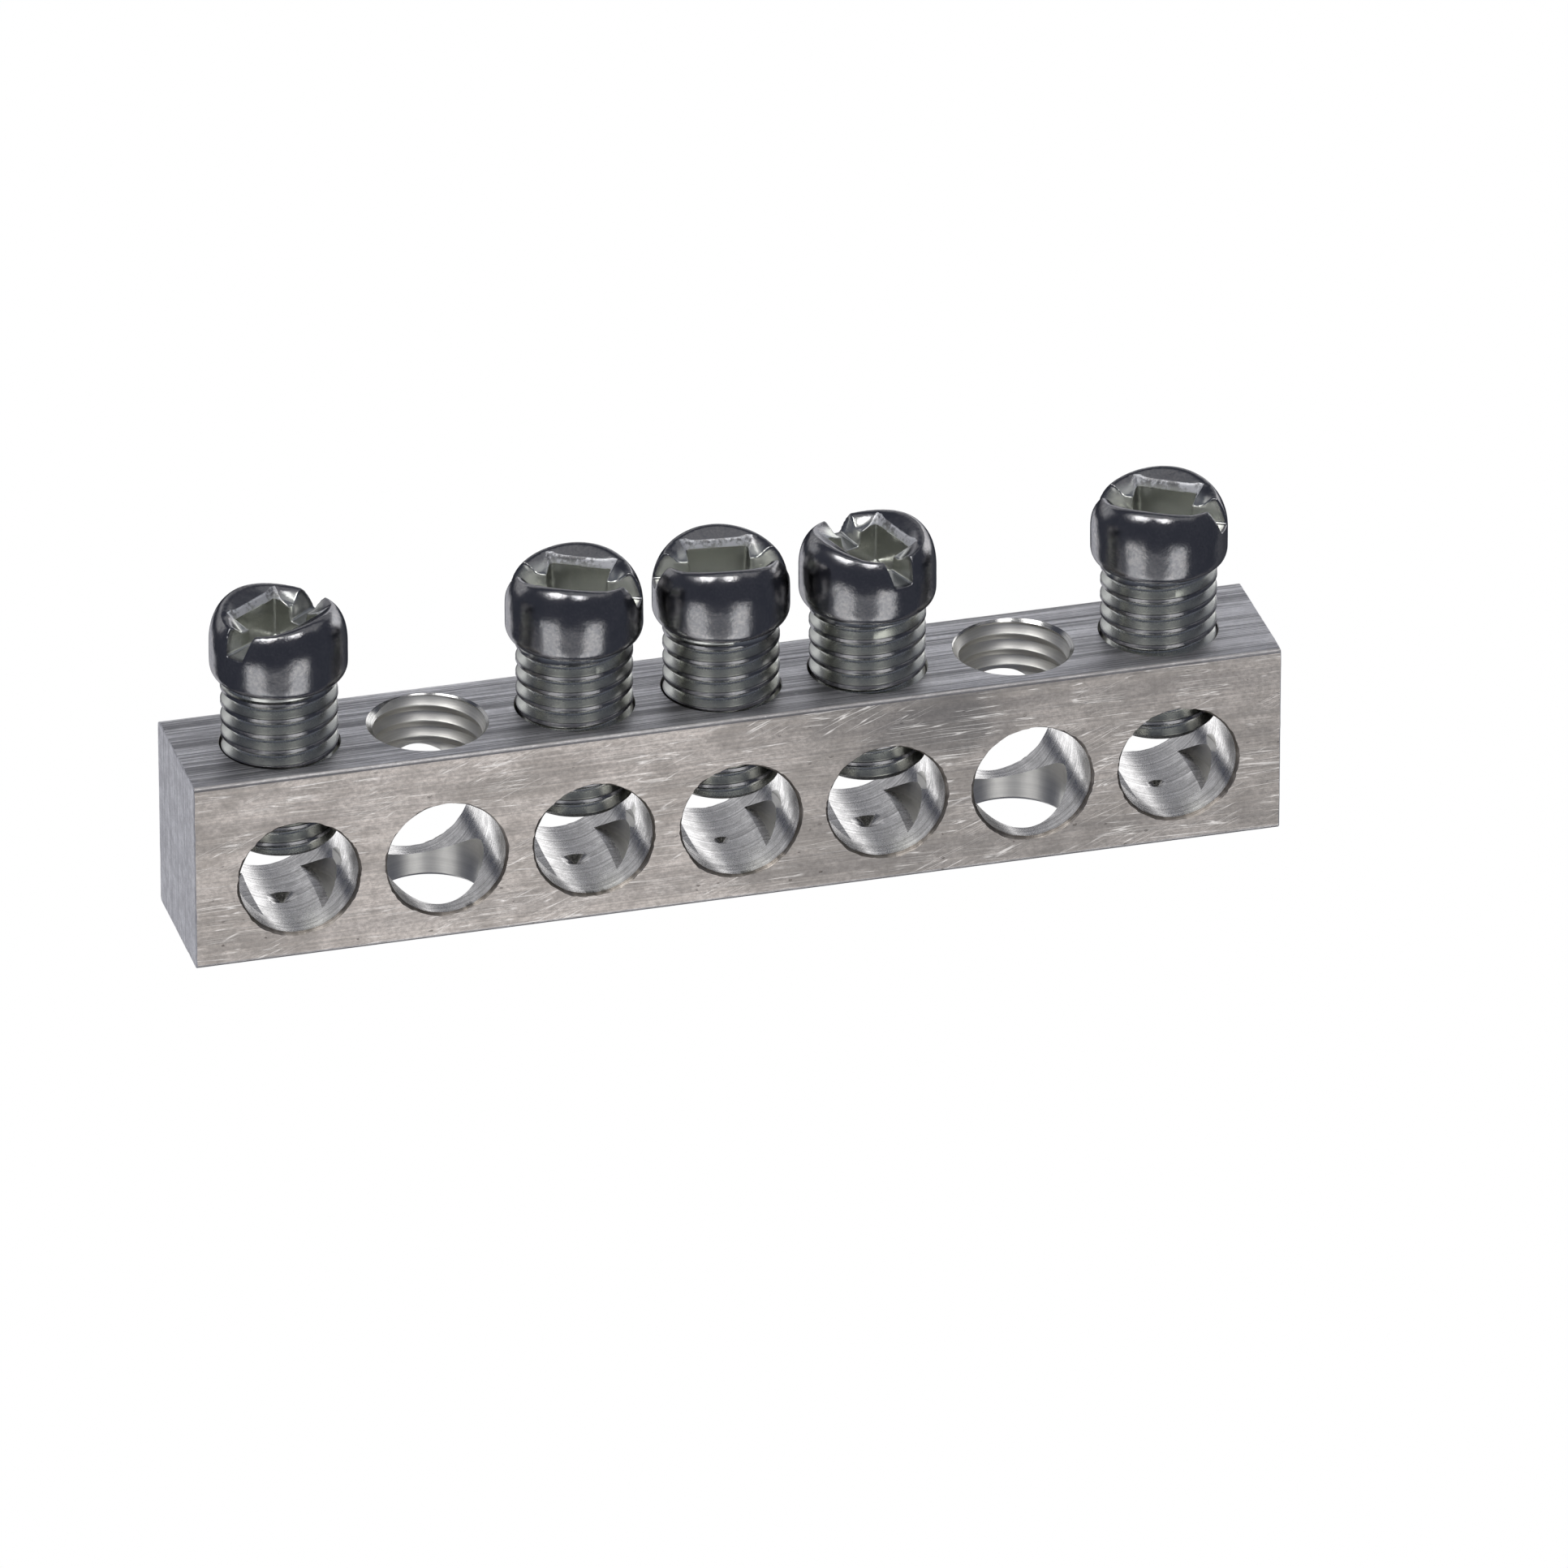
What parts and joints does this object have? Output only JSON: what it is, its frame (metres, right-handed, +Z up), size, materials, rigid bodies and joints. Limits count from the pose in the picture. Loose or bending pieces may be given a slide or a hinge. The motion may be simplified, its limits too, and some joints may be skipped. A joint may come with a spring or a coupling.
{
  "type": "earth terminal bar",
  "caption": "Drawn metal bar with a row of cross-drilled wire holes, barrel-headed clamping screws in its top, and open holes through it for mounting screws.",
  "frame": {"origin": "middle of the bar's bottom face, below the fourth of the seven positions", "axes": "+X along the bar to the right, -Y to the front face that the picture shows, +Z up out of the screws' heads"},
  "size_m": [0.0588, 0.008, 0.0188],
  "materials": {
    "drawn_aluminium": "drawn, with fine lines along the bar and light handling marks",
    "zinc_plated_steel": "bright zinc plating with light mottling"
  },
  "bodies": {
    "bar": {"bar": "drawn_aluminium"},
    "screw_1": {"terminal_screw_1": "zinc_plated_steel"},
    "screw_3": {"terminal_screw_3": "zinc_plated_steel"},
    "screw_4": {"terminal_screw_4": "zinc_plated_steel"},
    "screw_5": {"terminal_screw_5": "zinc_plated_steel"},
    "screw_7": {"terminal_screw_7": "zinc_plated_steel"}
  },
  "joints": [
    {"name": "screw_1_travel", "type": "slide", "parent": "bar", "child": "screw_1", "axis": [0, 0, 1], "range_m": [-0.0023, 0.0026]},
    {"name": "screw_3_travel", "type": "slide", "parent": "bar", "child": "screw_3", "axis": [0, 0, 1], "range_m": [-0.0023, 0.0026]},
    {"name": "screw_4_travel", "type": "slide", "parent": "bar", "child": "screw_4", "axis": [0, 0, 1], "range_m": [-0.0023, 0.0026]},
    {"name": "screw_5_travel", "type": "slide", "parent": "bar", "child": "screw_5", "axis": [0, 0, 1], "range_m": [-0.0023, 0.0026]},
    {"name": "screw_7_travel", "type": "slide", "parent": "bar", "child": "screw_7", "axis": [0, 0, 1], "range_m": [-0.0023, 0.0026]}
  ]
}
